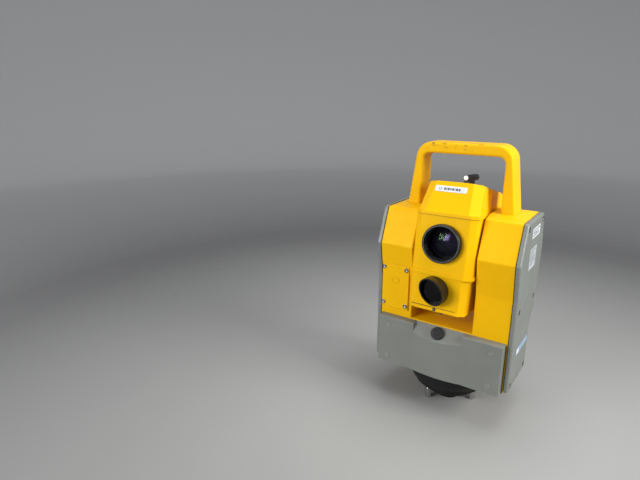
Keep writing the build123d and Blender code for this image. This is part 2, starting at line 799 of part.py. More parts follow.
band_bottom = telescope_half_height + 5
tracker_bottom = 98
tracker_taper = 2.75
foot_lip_height = 5
tracker_x = -5.6
tracker_z = -68
tracker_radius = 20.7
tracker_bore = 18.4
with BuildPart() as tracker_cover:
    extrude(tube_outline(tube_level(-band_bottom), 1.2), amount=band_bottom - telescope_half_height)
    with BuildSketch(tube_level(-band_bottom)) as tracker_top:
        Polygon((-34, -68), (31.5, -68), (40, -60), (40, 32), (33, 38), (-36, 38), (-43.6, 32),
                (-43.6, -60), align=None)
        fillet(tracker_top.vertices(), radius=4)
    extrude(amount=band_bottom - tracker_bottom, taper=tracker_taper)
    # Foot lip round the bottom
    with BuildSketch(tube_level(-tracker_bottom)) as foot_lip:
        Polygon((-31.5, -66.3), (29.5, -66.3), (38, -58.2), (38, 30), (31, 35.4), (-34, 35.4), (-41.4, 30),
                (-41.4, -58.2), align=None)
        fillet(foot_lip.vertices(), radius=4)
    extrude(amount=foot_lip_height)
    with BuildSketch(tube_level(-telescope_half_height)):
        Polygon((-32, -64.5), (29.5, -64.5), (36.9, -58), (36.9, 30), (31, 34.5), (-34, 34.5),
                (-40.4, 30), (-40.4, -58), align=None)
    extrude(amount=telescope_half_height - tracker_bottom + 4, taper=tracker_taper, mode=Mode.SUBTRACT)
    with BuildSketch(tube_front(-40, tracker_x, tracker_z)):
        Circle(tracker_radius)
    extrude(amount=40, mode=Mode.SUBTRACT)

# ---------------------------------------------------------------- telescope optics

lens_radius = 21.5
lens_back = -58
lens_front = -66.5
lens_curvature = 45
with BuildPart() as objective_ring:
    with BuildSketch(tube_side(0)):
        Polygon((-77, 24), (-77, 26.2), (-76.4, 26.7), (-69, 26.7), (-69, objective_seat_radius),
                (-40, objective_seat_radius), (-40, 19), (lens_back, 19), (lens_back, lens_radius),
                (-68, lens_radius), align=None)
    revolve(axis=line_of_sight)

with BuildPart() as objective_lens:
    with BuildSketch(tube_front(lens_back)):
        Circle(lens_radius)
    extrude(amount=lens_back - lens_front)
    with Locations(telescope.from_local_coords((0, lens_front + lens_curvature, 0))):
        Sphere(lens_curvature, mode=Mode.INTERSECT)

barrel_bore = 12
eyepiece_radius = 9
with BuildPart() as eyepiece_barrel:
    with BuildSketch(tube_side(0)):
        Polygon((-12, barrel_bore), (-12, barrel_radius), (74, barrel_radius), (74, barrel_bore),
                (86, barrel_bore), (86, eyepiece_radius), (60, eyepiece_radius), (60, barrel_bore),
                align=None)
    revolve(axis=line_of_sight)

focusing_radius = 8
with BuildPart() as focusing_cell:
    with BuildSketch(tube_front(8)):
        Circle(barrel_bore - 0.05)
        Circle(focusing_radius, mode=Mode.SUBTRACT)
    extrude(amount=10)

with BuildPart() as focusing_lens:
    with BuildSketch(tube_front(4.5)):
        Circle(focusing_radius)
    extrude(amount=3)

with BuildPart() as reticle:
    with BuildSketch(tube_front(52)):
        Circle(barrel_bore)
    extrude(amount=1.6)

with BuildPart() as focus_ring:
    with BuildSketch(tube_front(73.5)):
        Circle(23)
        Circle(barrel_radius + 0.05, mode=Mode.SUBTRACT)
        with PolarLocations(23.8, 28):
            Circle(1.5, mode=Mode.SUBTRACT)
    extrude(amount=12.6)

with BuildPart() as eyepiece_ring:
    with BuildSketch(tube_front(85.5)):
        Circle(18)
        Circle(barrel_bore + 0.05, mode=Mode.SUBTRACT)
        with PolarLocations(18.7, 24):
            Circle(1.3, mode=Mode.SUBTRACT)
    extrude(amount=10.9)

with BuildPart() as eyepiece_lens:
    with BuildSketch(tube_front(83)):
        Circle(eyepiece_radius)
    extrude(amount=3)

# The tube's rim is cut obliquely, longest at the upper right.
rim_lean = 0.4
rim_normal = (telescope.x_dir + telescope.z_dir) * -rim_lean - telescope.y_dir
rim = Plane(origin=telescope.from_local_coords((tracker_x, -80, tracker_z)), z_dir=rim_normal)
with BuildPart() as tracker_tube:
    with BuildSketch(tube_front(-60, tracker_x, tracker_z)):
        Circle(tracker_radius)
        Circle(tracker_bore, mode=Mode.SUBTRACT)
    extrude(amount=34)
    with BuildSketch(rim):
        Circle(2 * tracker_radius)
    extrude(amount=30, mode=Mode.SUBTRACT)

with BuildPart() as tracker_lens:
    with BuildSketch(tube_front(-62, tracker_x, tracker_z)):
        Circle(tracker_bore)
    extrude(amount=3)

with BuildPart() as guide_light:
    with BuildSketch(tube_front(-48, 5.7, -tracker_bottom)):
        Circle(4)
        Rectangle(12, 6, align=(Align.CENTER, Align.MIN), mode=Mode.SUBTRACT)
    extrude(amount=12.5)

sight_x = 6.6
sight_height = 87.5
with BuildPart() as sight:
    with BuildSketch(tube_side(sight_x - 3.5)):
        Polygon((-20, hood_top - 15), (6, hood_top - 15), (6, sight_height), (-20, sight_height),
                align=None)
    extrude(amount=7)
    add(hood.part, mode=Mode.SUBTRACT)
    with BuildSketch(tube_front(8, sight_x, sight_height)):
        Circle(4.2)
    extrude(amount=32)
    with BuildSketch(tube_front(-24, sight_x, sight_height)):
        Circle(2.6)
    extrude(amount=-3, mode=Mode.SUBTRACT)

board_drop = telescope_half_height + 9
with BuildPart() as distance_meter_board:
    with BuildSketch(tube_level(-board_drop - board_thickness)):
        with Locations((0, -14)):
            Rectangle(60, 66)
    extrude(amount=board_thickness)
    with BuildSketch(tube_level(-board_drop - board_thickness)):
        with Locations((-12, -20), (14, 4)):
            Rectangle(18, 18)
    extrude(amount=-3)
    with BuildSketch(tube_level(-board_drop)):
        with Locations((-26, -42), (26, -42), (-26, 14), (26, 14)):
            Circle(2.5)
    extrude(amount=board_drop - telescope_half_height)

# ---------------------------------------------------------------- control unit

unit_half_width = 88
unit_back = back_face + 0.4
unit_bottom = 66
unit_skin = 2.5
face_foot = (71, 70)
face_head = (58, 143.5)
face_normal = Vector(0, face_head[1] - face_foot[1], face_foot[0] - face_head[0]).normalized()
face_center = (0, (face_foot[0] + face_head[0]) / 2, (face_foot[1] + face_head[1]) / 2)
key_face = Plane(origin=face_center, x_dir=(-1, 0, 0), z_dir=face_normal)

display_center = (-34, 9)
display_size = (92, 42)
keypad_center = (51, 1)
keypad_size = (58, 58)
keypad_grid = (3, 4)
key_names = ["power_key", "escape_key", "function_key", "enter_key"]
key_spots = [(-68 + 24 * i, -25) for i in range(len(key_names))]
key_size = (17, 9)
key_gap = 0.3
key_reach = 1.4
key_depth = 4.4
face_recess = 1.2

with BuildPart() as control_unit_case:
    with BuildSketch(side(-unit_half_width)):
        Polygon((unit_back, unit_bottom), (unit_back, 136.5), (44, 143.5), face_head, face_foot,
                (67, unit_bottom), align=None)
    extrude(amount=2 * unit_half_width)
    side_edges = control_unit_case.edges().filter_by(
        lambda edge: edge.center().Y > 50 and abs(edge.center().X) > 80)
    fillet(side_edges, radius=3)
    with BuildSketch(side(-unit_half_width + unit_skin)):
        Polygon((unit_back, unit_bottom + unit_skin), (unit_back, 133.5), (45, 141), (55.8, 141), (68, 72),
                (65.5, unit_bottom + unit_skin), align=None)
    extrude(amount=2 * (unit_half_width - unit_skin), mode=Mode.SUBTRACT)
    with BuildSketch(key_face):
        with Locations(display_center):
            Rectangle(*display_size)
        with Locations(keypad_center):
            Rectangle(*keypad_size)
    extrude(amount=-face_recess, mode=Mode.SUBTRACT)
    with BuildSketch(key_face):
        with Locations(*key_spots):
            RectangleRounded(*key_size, 1.5)
    extrude(amount=-6, mode=Mode.SUBTRACT)

with BuildPart() as display_window:
    with BuildSketch(key_face.offset(-face_recess)):
        with Locations(display_center):
            Rectangle(display_size[0] - 0.2, display_size[1] - 0.2)
    extrude(amount=1)

with BuildPart() as keypad:
    with BuildSketch(key_face.offset(-face_recess)):
        with Locations(keypad_center):
            Rectangle(keypad_size[0] - 0.2, keypad_size[1] - 0.2)
    extrude(amount=1)
    with BuildSketch(key_face.offset(-0.2)):
        with Locations(keypad_center):
            with GridLocations(18, 14, *keypad_grid):
                RectangleRounded(13, 9, 2)
    extrude(amount=1.4, taper=10)


def hard_key(spot):
    """Key cap with a hidden flange that keeps it in the case."""
    with BuildPart() as key:
        with BuildSketch(key_face.offset(-key_depth)):
            with Locations(spot):
                RectangleRounded(key_size[0] - 2 * key_gap, key_size[1] - 2 * key_gap, 1.3)
        extrude(amount=key_depth + key_reach)
        with BuildSketch(key_face.offset(-key_depth)):
            with Locations(spot):
                Rectangle(key_size[0] + 2, key_size[1] + 2)
        extrude(amount=1.2)
    return key.part


# ---------------------------------------------------------------- files

pieces = {
    "base_flange": base_flange, "centring_pins": centring_pins, "vertical_spindle": vertical_spindle,
    "horizontal_circle": horizontal_circle, "drive_ring": drive_ring, "lower_housing": lower_housing,
    "bearing_plate": bearing_plate, "spindle_bearings": spindle_bearings,
    "horizontal_encoder": horizontal_encoder, "horizontal_motor": horizontal_motor,
    "horizontal_drive_roller": horizontal_drive_roller, "tilt_sensor": tilt_sensor,
    "alidade_housing": alidade_housing, "side_cover_seals": side_cover_seals,
    "right_side_cover": right_side_cover, "left_side_cover": left_side_cover, "front_panel": front_panel,
    "antenna_socket": antenna_socket, "antenna_cap": antenna_cap, "service_plate": service_plate,
    "cover_screws": cover_screws, "carry_handle": carry_handle, "handle_screws": handle_screws,
    "trunnion_bearings": trunnion_bearings, "trunnion_axles": trunnion_axles,
    "vertical_circle": vertical_circle, "vertical_encoder": vertical_encoder,
    "vertical_drive_wheel": vertical_drive_wheel, "vertical_motor": vertical_motor,
    "vertical_drive_roller": vertical_drive_roller, "main_circuit_board": main_circuit_board,
    "battery_compartment": battery_compartment, "battery_pack": battery_pack,
    "battery_latch": battery_latch,
    "horizontal_motion_knob": horizontal_motion_knob, "vertical_motion_knob": vertical_motion_knob,
    "telescope_housing": telescope_housing, "telescope_top_cover": telescope_top_cover,
    "tracker_cover": tracker_cover, "objective_ring": objective_ring, "objective_lens": objective_lens,
    "eyepiece_barrel": eyepiece_barrel, "focusing_cell": focusing_cell, "focusing_lens": focusing_lens,
    "reticle": reticle, "focus_ring": focus_ring, "eyepiece_ring": eyepiece_ring,
    "eyepiece_lens": eyepiece_lens, "tracker_tube": tracker_tube, "tracker_lens": tracker_lens,
    "guide_light": guide_light, "sight": sight,
    "distance_meter_board": distance_meter_board, "control_unit_case": control_unit_case,
    "display_window": display_window, "keypad": keypad,
}
for key_name, key_spot in zip(key_names, key_spots):
    with BuildPart() as pieces[key_name]:
        add(hard_key(key_spot))

os.makedirs("parts", exist_ok=True)
for name, piece in pieces.items():
    piece.part.label = name
    export_step(piece.part, f"parts/{name}.step")
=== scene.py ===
import json
from math import cos, pi, radians, sin

import bmesh
import bpy
from mathutils import Matrix, Vector


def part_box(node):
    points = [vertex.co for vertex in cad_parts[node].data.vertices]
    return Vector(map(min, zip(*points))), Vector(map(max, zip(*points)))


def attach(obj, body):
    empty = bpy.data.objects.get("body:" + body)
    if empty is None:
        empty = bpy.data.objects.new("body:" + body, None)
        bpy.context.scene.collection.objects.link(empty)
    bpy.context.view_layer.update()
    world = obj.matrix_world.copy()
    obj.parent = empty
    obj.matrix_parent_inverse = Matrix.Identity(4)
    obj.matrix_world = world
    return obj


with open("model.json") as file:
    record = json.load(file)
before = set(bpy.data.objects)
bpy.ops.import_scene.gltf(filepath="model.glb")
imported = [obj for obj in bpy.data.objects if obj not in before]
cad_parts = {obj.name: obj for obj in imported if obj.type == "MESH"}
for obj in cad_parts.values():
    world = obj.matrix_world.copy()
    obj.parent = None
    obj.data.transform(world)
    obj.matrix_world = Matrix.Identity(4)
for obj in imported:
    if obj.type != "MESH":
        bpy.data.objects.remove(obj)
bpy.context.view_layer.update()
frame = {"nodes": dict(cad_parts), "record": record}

# A robotic surveying total station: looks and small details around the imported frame, in metres.
# +X is to the right as seen from the objective side, +Y points to the observer and +Z is up.

MM = 0.001
scene = bpy.context.scene
joints = {joint["name"]: joint for joint in frame["record"]["behaviour"]["joints"]}
mounts = {mount["name"]: mount for mount in frame["record"]["mounts"]}


# ---------------------------------------------------------------- camera

camera_place = (0.2300, -0.6811, 0.4538)
camera_yaw, camera_pitch, camera_roll = 35.18, 16.32, 0.12
camera_lens = 27.56
sensor_width = 36

camera = bpy.data.objects.new("camera", bpy.data.cameras.new("camera"))
camera.data.lens = camera_lens
camera.data.sensor_width = sensor_width
camera.location = camera_place
camera.rotation_euler = (radians(90 - camera_pitch), radians(camera_roll), radians(camera_yaw))
scene.collection.objects.link(camera)
scene.camera = camera

scene.view_settings.view_transform = "Standard"


# ---------------------------------------------------------------- node materials

class Nodes:
    """A short way to write a material's node tree."""

    def __init__(self, name, **constants):
        self.material = bpy.data.materials.new(name)
        self.material.use_nodes = True
        self.tree = self.material.node_tree
        self.shader = self.tree.nodes["Principled BSDF"]
        for socket, value in constants.items():
            self.shader.inputs[socket.replace("_", " ")].default_value = value
        self.place = self.add("ShaderNodeTexCoord").outputs["Object"]

    def add(self, kind, links=None, **settings):
        """A node with its settings, and its inputs linked to sockets or set to values."""
        node = self.tree.nodes.new(kind)
        for name, value in settings.items():
            setattr(node, name, value)
        for socket, value in (links or {}).items():
            target = node.inputs[socket]
            if isinstance(value, bpy.types.NodeSocket):
                self.tree.links.new(value, target)
            else:
                target.default_value = value
        return node

    def stretch(self, scale):
        """The object's own coordinates scaled along each axis."""
        return self.add("ShaderNodeMapping", {"Vector": self.place, "Scale": scale}).outputs[0]

    def noise(self, size, detail=3, roughness=0.5, place=None):
        """Noise whose features are about size metres across."""
        return self.add("ShaderNodeTexNoise", {
            "Vector": place or self.place, "Scale": 1 / size, "Detail": detail,
            "Roughness": roughness}).outputs["Fac"]

    def cells(self, size, feature="F1"):
        """Distance within cells that are about size metres across."""
        return self.add("ShaderNodeTexVoronoi", {"Vector": self.place, "Scale": 1 / size},
                        feature=feature).outputs["Distance"]

    def between(self, value, low, high, to_low=0.0, to_high=1.0):
        """Maps low..high to to_low..to_high, clamped."""
        return self.add("ShaderNodeMapRange", {
            "Value": value, "From Min": low, "From Max": high,
            "To Min": to_low, "To Max": to_high}).outputs[0]

    def times(self, a, b):
        """The product of two numbers or sockets."""
        return self.add("ShaderNodeMath", {0: a, 1: b}, operation="MULTIPLY").outputs[0]

    def mix(self, factor, a, b):
        """Colours a and b mixed by the factor."""
        node = self.add("ShaderNodeMix", data_type="RGBA")
        for socket, value in ((node.inputs["Factor"], factor), (node.inputs[6], a), (node.inputs[7], b)):
            if isinstance(value, bpy.types.NodeSocket):
                self.tree.links.new(value, socket)
            else:
                socket.default_value = value if isinstance(value, (int, float)) else (*value, 1)
        return node.outputs[2]

    def edges(self, radius):
        """1 along sharp edges, 0 on flat faces."""
        rounded = self.add("ShaderNodeBevel", {"Radius": radius}, samples=6).outputs[0]
        flat = self.add("ShaderNodeNewGeometry").outputs["Normal"]
        alike = self.add("ShaderNodeVectorMath", {0: rounded, 1: flat},
                         operation="DOT_PRODUCT").outputs["Value"]
        return self.between(alike, 0.995, 0.90)

    def finish(self, colour, roughness, height=None, depth=0.0001, rounding=0.0):
        """Connects the shader. Height is a bump of that depth, and rounding softens sharp edges."""
        self.tree.links.new(colour, self.shader.inputs["Base Color"])
        self.tree.links.new(roughness, self.shader.inputs["Roughness"])
        normal = None
        if rounding:
            normal = self.add("ShaderNodeBevel", {"Radius": rounding}, samples=4).outputs[0]
        if height is not None:
            links = {"Height": height, "Distance": depth, "Strength": 1.0}
            if normal is not None:
                links["Normal"] = normal
            normal = self.add("ShaderNodeBump", links).outputs[0]
        if normal is not None:
            self.tree.links.new(normal, self.shader.inputs["Normal"])
        return self.material


YELLOW = (0.88, 0.49, 0.003)
YELLOW_DEEP = (0.80, 0.42, 0.002)
YELLOW_PALE = (0.90, 0.56, 0.020)
GRIME = (0.16, 0.10, 0.03)
CHIPPED = (0.20, 0.10, 0.02)
GREY = (0.180, 0.190, 0.172)


def yellow_paint(name, chips=0.0):
    """Warm yellow powder coat: orange peel, fading, scuffs and, where asked for, chips."""
    n = Nodes(name, Specular_IOR_Level=0.34, Specular_Tint=(1.0, 0.72, 0.16, 1.0))
    fading = n.between(n.noise(0.09, 4, 0.6), 0.35, 0.7)
    colour = n.mix(n.between(fading, 0, 1, 0, 0.45), YELLOW, YELLOW_DEEP)
    smudge = n.between(n.noise(0.03, 5, 0.65), 0.55, 0.75, 0, 0.28)
    colour = n.mix(smudge, colour, YELLOW_PALE)
    hairlines = n.between(n.noise(0.004, 3, 0.7, n.stretch((1, 1, 0.06))), 0.67, 0.72, 0, 0.25)
    colour = n.mix(hairlines, colour, YELLOW_PALE)
    specks = n.between(n.cells(0.011), 0.06, 0.035, 0, 0.55)
    specks = n.times(specks, n.between(n.noise(0.04, 2), 0.56, 0.60))
    colour = n.mix(specks, colour, GRIME)
    worn = n.times(n.edges(0.0012), n.between(n.noise(0.006, 4, 0.7), 0.50, 0.66))
    colour = n.mix(n.times(worn, 0.55), colour, YELLOW_PALE)
    if chips:
        # Only on the front half of the handle's top, fading out towards its right end
        along = n.add("ShaderNodeSeparateXYZ", {"Vector": n.place}).outputs
        top = n.times(n.between(along["Z"], 0.380, 0.388), n.between(along["X"], 0.045, 0.020))
        front = n.times(top, n.between(along["Y"], -0.002, -0.009))
        flaws = n.noise(0.006, 5, 0.7, n.stretch((0.5, 1, 1)))
        chip = n.times(front, n.between(flaws, 0.64 - chips, 0.67 - chips))
        colour = n.mix(n.times(chip, 0.75), colour, CHIPPED)
    roughness = n.between(n.noise(0.02, 4, 0.6), 0.3, 0.7, 0.34, 0.48)
    peel = n.noise(0.0011, 2, 0.5)
    return n.finish(colour, roughness, peel, 0.00005, rounding=0.0007)


def grey_plastic(name, base=GREY, rounding=0.0006):
    """Fine-grained satin moulding with faint smears and rubbed edges."""
    n = Nodes(name, Specular_IOR_Level=0.5)
    pale = tuple(min(1, c * 1.12) for c in base)
    dark = tuple(c * 0.85 for c in base)
    colour = n.mix(n.between(n.noise(0.05, 4, 0.6), 0.35, 0.7), base, pale)
    colour = n.mix(n.between(n.noise(0.012, 5, 0.7), 0.60, 0.80, 0, 0.25), colour, dark)
    scratch = n.between(n.noise(0.003, 2, 0.6, n.stretch((0.05, 0.05, 1))), 0.70, 0.74, 0, 0.4)
    colour = n.mix(scratch, colour, pale)
    worn = n.times(n.edges(0.0009), n.between(n.noise(0.005, 4, 0.7), 0.42, 0.62, 0, 0.6))
    colour = n.mix(worn, colour, (0.46, 0.47, 0.45))
    roughness = n.between(n.noise(0.018, 4, 0.6), 0.3, 0.7, 0.36, 0.50)
    grain = n.noise(0.0006, 2, 0.6)
    return n.finish(colour, roughness, grain, 0.00003, rounding=rounding)


def metal(name, base, roughness, rounding=0.0002):
    """Machined metal with a fine grain."""
    n = Nodes(name, Metallic=1.0)
    grain = 0.0015
    dark = tuple(c * 0.62 for c in base)
    colour = n.mix(n.between(n.noise(grain, 4, 0.7), 0.3, 0.7), dark, base)
    colour = n.mix(n.between(n.noise(0.008, 4, 0.6), 0.55, 0.8, 0, 0.5), colour, dark)
    rough = n.between(n.noise(grain * 3, 3, 0.6), 0.3, 0.7, roughness * 0.75, roughness * 1.3)
    return n.finish(colour, rough, n.noise(grain, 3, 0.6), 0.00001, rounding=rounding)


def black_metal(name):
    """Black anodised aluminium, rubbed greyer along its edges."""
    n = Nodes(name, Specular_IOR_Level=0.30)
    mottle = n.between(n.noise(0.02, 4, 0.6), 0.35, 0.7)
    colour = n.mix(mottle, (0.003, 0.003, 0.0034), (0.007, 0.007, 0.008))
    worn = n.times(n.edges(0.0006), n.between(n.noise(0.004, 4, 0.7), 0.50, 0.68, 0, 0.5))
    colour = n.mix(worn, colour, (0.12, 0.12, 0.12))
    dust = n.between(n.noise(0.006, 5, 0.75), 0.62, 0.82, 0, 0.12)
    colour = n.mix(dust, colour, (0.16, 0.15, 0.14))
    roughness = n.between(n.noise(0.01, 4, 0.6), 0.3, 0.7, 0.24, 0.38)
    return n.finish(colour, roughness, n.noise(0.0008, 2), 0.00002, rounding=0.0004)


def rubber(name, base=(0.016, 0.016, 0.017), roughness=0.62):
    """Matt rubber with a dusty bloom."""
    n = Nodes(name, Specular_IOR_Level=0.35)
    bloom = tuple(c * 2.6 + 0.01 for c in base)
    colour = n.mix(n.between(n.noise(0.006, 5, 0.7), 0.45, 0.75, 0, 0.7), base, bloom)
    worn = n.times(n.edges(0.0006), n.between(n.noise(0.003, 3, 0.7), 0.4, 0.6, 0, 0.5))
    colour = n.mix(worn, colour, tuple(c * 4 + 0.03 for c in base))
    rough = n.between(n.noise(0.008, 3), 0.3, 0.7, roughness - 0.1, roughness + 0.1)
    return n.finish(colour, rough, n.noise(0.0007, 3, 0.7), 0.00005, rounding=0.0003)


def glass(name, tint, roughness=0.02, clear=0.0, shine=0.6, coat=0.6, film=(1, 1, 1, 1)):
    """Polished glass; clear is how much of what lies behind it shows, film the reflection's colour."""
    n = Nodes(name, Specular_IOR_Level=shine, Specular_Tint=film, IOR=1.5, Coat_Weight=coat,
              Coat_Roughness=0.01, Alpha=1 - clear)
    smear = n.between(n.noise(0.008, 4, 0.6), 0.35, 0.75)
    colour = n.mix(smear, tint, tuple(c * 1.5 + 0.004 for c in tint))
    return n.finish(colour, n.between(smear, 0, 1, roughness, roughness + 0.06))


def circuit_board(name):
    """Green board with gold tracks."""
    n = Nodes(name, Specular_IOR_Level=0.5)
    tracks = n.between(n.cells(0.0035, feature="DISTANCE_TO_EDGE"), 0.05, 0.09)
    colour = n.mix(tracks, (0.32, 0.24, 0.06), (0.008, 0.075, 0.028))
    return n.finish(colour, n.between(n.noise(0.004), 0.3, 0.7, 0.35, 0.5), tracks, 0.00005)


def moulded(name, base, roughness=0.45):
    """Plain fine-grained moulding."""
    n = Nodes(name, Specular_IOR_Level=0.5)
    pale = tuple(c * 1.4 + 0.003 for c in base)
    colour = n.mix(n.between(n.noise(0.01, 4, 0.6), 0.35, 0.75), base, pale)
    rough = n.between(n.noise(0.006, 3), 0.3, 0.7, roughness - 0.06, roughness + 0.08)
    return n.finish(colour, rough, n.noise(0.0005, 2), 0.00002, rounding=0.0003)


materials = {
    "yellow_paint": yellow_paint("yellow_paint"),
    "grey_cover": grey_plastic("grey_cover"),
    "black_anodised": black_metal("black_anodised"),
    "bare_aluminium": metal("bare_aluminium", (0.70, 0.70, 0.71), 0.32),
    "steel": metal("steel", (0.66, 0.65, 0.63), 0.24, rounding=0.0003),
    "brass": metal("brass", (0.70, 0.50, 0.18), 0.30),
    "black_rubber": rubber("black_rubber"),
    "black_plastic": moulded("black_plastic", (0.014, 0.014, 0.015)),
    "key_plastic": moulded("key_plastic", (0.52, 0.52, 0.49)),
    "keypad_rubber": rubber("keypad_rubber", (0.05, 0.05, 0.055), 0.55),
    "circuit_board": circuit_board("circuit_board"),
    "clear_glass": glass("clear_glass", (0.30, 0.36, 0.35), clear=0.6),
    "coated_glass": glass("coated_glass", (0.006, 0.004, 0.012), clear=0.68, shine=0.45, coat=0,
                          film=(0.45, 0.85, 0.40, 1)),
    "dark_glass": glass("dark_glass", (0.0012, 0.0012, 0.002), shine=0.10, coat=0.1),
    "display_glass": glass("display_glass", (0.13, 0.16, 0.12), 0.12),
}
handle_paint = yellow_paint("handle_paint", chips=0.085)

for row in frame["record"]["subparts"]:
    node = frame["nodes"][row["node"]]
    node.data.materials.clear()
    node.data.materials.append(materials[row["material_slot"]])
frame["nodes"]["carry_handle"].data.materials[0] = handle_paint


# ---------------------------------------------------------------- small pieces

label_card = moulded("label_card", (0.62, 0.64, 0.66), 0.30)
label_film = moulded("label_film", (0.42, 0.45, 0.46), 0.25)
label_blue = moulded("label_blue", (0.24, 0.36, 0.50), 0.25)
label_ink = moulded("label_ink", (0.07, 0.08, 0.10), 0.40)
plug_plastic = grey_plastic("plug_plastic", (0.20, 0.21, 0.19), 0.0003)
white_window = moulded("white_window", (0.93, 0.93, 0.93), 0.12)
black_coating = moulded("black_coating", (0.006, 0.006, 0.007), 0.55)
legend_print = moulded("legend_print", (0.62, 0.62, 0.60), 0.45)
display_ink = moulded("display_ink", (0.012, 0.018, 0.014), 0.40)


def lens_coating():
    """Inner lens element: dark glass whose film reflects the lights in violet."""
    n = Nodes("lens_coating", Specular_IOR_Level=1.0, Specular_Tint=(0.52, 0.38, 0.95, 1.0), IOR=1.9)
    smear = n.between(n.noise(0.009, 3, 0.6), 0.40, 0.65)
    colour = n.mix(smear, (0.012, 0.010, 0.018), (0.035, 0.028, 0.055))
    return n.finish(colour, n.between(smear, 0, 1, 0.10, 0.24))


# ---------------------------------------------------------------- shape helpers

hard_edge_angle = 35  # degrees between two faces, from which their edge stays sharp
print_depth = 0.06  # mm that printing stands proud
sticker_thickness = 0.1  # mm


def ring(radius, height, segments=48):
    """A level circle of points, or the one point on the axis when the radius is 0."""
    return [(radius * cos(2 * pi * k / segments), radius * sin(2 * pi * k / segments), height)
            for k in range(segments)] if radius else [(0, 0, height)]


def lathe(profile, closed=False):
    """Rings for a turned piece from (radius, height) points, in mm."""
    rings = [ring(*point) for point in profile]
    return rings + [rings[0]] if closed else rings


def plate(width, depth, thickness, corner=0.8, bevel=0.12, arc=5):
    """Rings for a flat plate with rounded corners and a bevelled face, in mm."""
    def outline(inset, height):
        radius = max(corner - inset, 0.05)
        points = []
        for quarter, (sx, sy) in enumerate(((1, 1), (-1, 1), (-1, -1), (1, -1))):
            for k in range(arc):
                angle = pi / 2 * (quarter + k / (arc - 1))
                points.append((sx * (width / 2 - inset - radius) + radius * cos(angle),
                               sy * (depth / 2 - inset - radius) + radius * sin(angle), height))
        return points
    return [outline(0, 0), outline(0, thickness - bevel), outline(bevel, thickness)]


def facing(origin, normal, across):
    """Matrix whose Z is the normal and whose X runs across; the origin is in metres."""
    normal, across = Vector(normal).normalized(), Vector(across).normalized()
    turned = Matrix((across, normal.cross(across), normal)).transposed().to_4x4()
    return Matrix.Translation(origin) @ turned


def shifted(matrix, x=0, y=0, z=0):
    """The same matrix moved along its own axes by millimetres."""
    return matrix @ Matrix.Translation(Vector((x, y, z)) * MM)


def piece(name, body, material, shapes):
    """One object made of closed skins, each a list of rings and the matrix that places them."""
    form = bmesh.new()
    for rings, where in shapes:
        loops = [[form.verts.new(where @ (Vector(point) * MM)) for point in points] for points in rings]
        tube = rings[0] == rings[-1]
        if tube:
            loops[-1] = loops[0]
        for low, high in zip(loops, loops[1:]):
            for k in range(max(len(low), len(high))):
                corners = [low[k % len(low)], low[(k + 1) % len(low)],
                           high[(k + 1) % len(high)], high[k % len(high)]]
                corners = list(dict.fromkeys(corners))
                if len(corners) > 2:
                    form.faces.new(corners)
        for end in (loops[0], loops[-1]):
            if len(end) > 2 and not tube:
                form.faces.new(end)
    bmesh.ops.delete(form, geom=[vert for vert in form.verts if not vert.link_faces], context="VERTS")
    bmesh.ops.recalc_face_normals(form, faces=form.faces)
    mesh = bpy.data.meshes.new(name)
    form.to_mesh(mesh)
    form.free()
    mesh.shade_smooth()
    mesh.set_sharp_from_angle(angle=radians(hard_edge_angle))
    mesh.materials.append(material)
    made = bpy.data.objects.new(name, mesh)
    scene.collection.objects.link(made)
    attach(made, body)


def print_rows(where, rows, height, pitch):
    """Rows of short bars, each row a list of (start, end) in mm, like lines of small print."""
    return [(plate(end - start, height, print_depth, 0.2, 0.02, 3),
             shifted(where, (start + end) / 2, -row * pitch))
            for row, spans in enumerate(rows) for start, end in spans]


def printed_ring(outer, inner):
    """Rings for a thin printed circle, in mm."""
    return lathe([(outer, 0), (outer, print_depth), (inner, print_depth), (inner, 0)], closed=True)


def sticker(width, depth):
    """Rings for a thin label with rounded corners, in mm."""
    return plate(width, depth, sticker_thickness, 1, 0.03)


# ---------------------------------------------------------------- pieces on the telescope

# The telescope's own axes: X across, Y back along the line of sight, Z up
tube_across = Vector((1, 0, 0))
tube_back = Vector(joints["focus_turn"]["axis"])
tube_origin = Vector(joints["elevation"]["pos_m"])
tube_up = tube_across.cross(tube_back)


def tube_point(x, y, z):
    """A point of the telescope given in mm from its turning axis, in metres."""
    return tube_origin + (tube_across * x + tube_back * y + tube_up * z) * MM


def tube_facing(x, y, z, lean=0.0):
    """Placed on the telescope facing the target, leaning back by an angle in degrees."""
    normal = tube_up * sin(radians(lean)) - tube_back * cos(radians(lean))
    return facing(tube_point(x, y, z), normal, tube_across)


# Hood: label with plain marks
hood_lean = 27.8
label_thickness, label_clearance = 0.4, 0.02
label_at = shifted(tube_facing(-2.8, -51.8, 72, hood_lean), z=label_clearance)
label_face = shifted(label_at, z=label_thickness)
mark_spans = [(-9.5, -7.2), (-6.4, -5.0), (-4.2, -1.6), (-0.8, 1.0), (1.8, 4.6), (5.4, 6.4), (7.2, 10.0),
              (10.8, 13.2)]
piece("maker_label", "telescope", label_card, [(plate(44, 8.6, label_thickness, 1.2), label_at)])
piece("maker_label_print", "telescope", label_ink,
      print_rows(label_face, [mark_spans], 3.6, 0)
      + [(printed_ring(2.1, 1.5), shifted(label_face, -14.5))])

# Sight
sight_x, sight_z = 6.6, 87.5
piece("sight_rear_body", "telescope", black_coating, [
    (lathe([(4.1, 0), (4.7, 0.6), (4.7, 13), (4.0, 14), (0, 14)]),
     facing(tube_point(sight_x, 8, sight_z), tube_back, tube_across))])
piece("sight_window", "telescope", white_window, [
    (lathe([(3.1, 0), (3.1, 0.5), (2.2, 1.1), (0, 1.4)]), tube_facing(sight_x, -23.8, sight_z))])
piece("sight_rear_window", "telescope", white_window, [
    (lathe([(2.6, 0), (2.6, 0.3), (0, 0.7)]),
     facing(tube_point(sight_x, 22, sight_z), tube_back, tube_across))])

